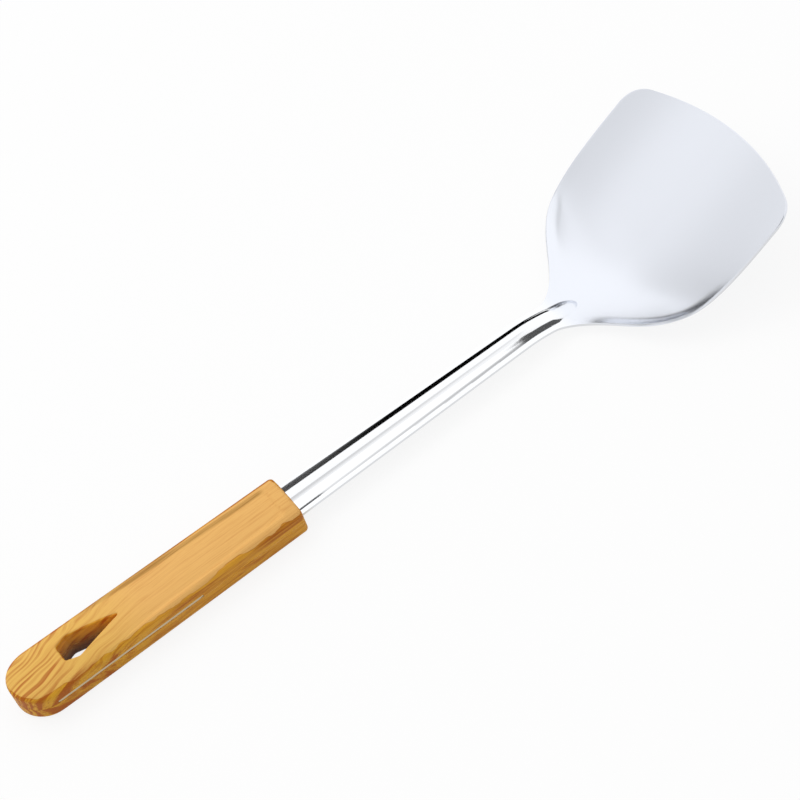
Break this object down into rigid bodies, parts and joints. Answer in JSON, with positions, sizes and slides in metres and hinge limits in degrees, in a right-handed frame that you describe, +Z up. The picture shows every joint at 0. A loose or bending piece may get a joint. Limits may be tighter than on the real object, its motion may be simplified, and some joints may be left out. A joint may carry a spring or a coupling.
{
  "type": "cooking spatula",
  "caption": "Long wok spatula: dished steel blade on a ribbed steel stem, in a two-piece wooden handle with a teardrop hanging hole.",
  "frame": {"origin": "centre of the overall length and width, on the plane the spatula lies on", "axes": "+X from the handle's butt to the blade's front edge, +Y to the left as seen by the cook holding it, +Z up through the blade's hollow side"},
  "size_m": [0.3584, 0.0972, 0.0357],
  "materials": {
    "stainless_sheet": "satin blade, polished stem",
    "upper_wood": "smooth satin, lengthwise grain",
    "lower_wood": "smooth satin, lengthwise grain",
    "screw_steel": "bright zinc plate"
  },
  "bodies": {
    "root": {"pressed_steel": "stainless_sheet", "handle_upper_half": "upper_wood", "handle_lower_half": "lower_wood", "screw_rear": "screw_steel", "screw_middle": "screw_steel", "screw_front": "screw_steel"}
  },
  "joints": []
}
